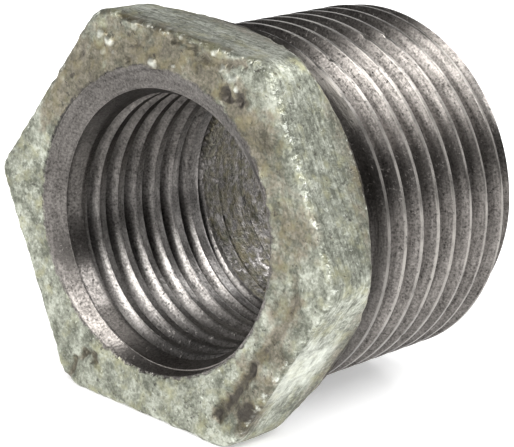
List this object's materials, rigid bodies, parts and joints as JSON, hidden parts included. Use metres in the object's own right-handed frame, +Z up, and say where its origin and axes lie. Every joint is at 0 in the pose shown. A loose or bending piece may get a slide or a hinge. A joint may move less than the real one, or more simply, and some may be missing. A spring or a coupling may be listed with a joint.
{
  "type": "hex bushing",
  "caption": "Zinc-coated hex head pipe bushing: tapered outside thread behind the head, smaller tapered inside thread in its mouth, and a straight bore right through.",
  "frame": {"origin": "on the surface that the bushing lies on, under the middle of its length, as it lies on one flat of its head", "axes": "+Y along the pipe axis from the mouth to the thread end, +Z up, +X to the right seen from the mouth"},
  "size_m": [0.032, 0.0234, 0.0284],
  "materials": {
    "zinc_coated_iron": "hot-dip zinc coat over malleable cast iron: mottled grey, dull on the cast head and semi-bright on the cut threads"
  },
  "bodies": {
    "root": {"hex_bushing": "zinc_coated_iron"}
  },
  "joints": []
}
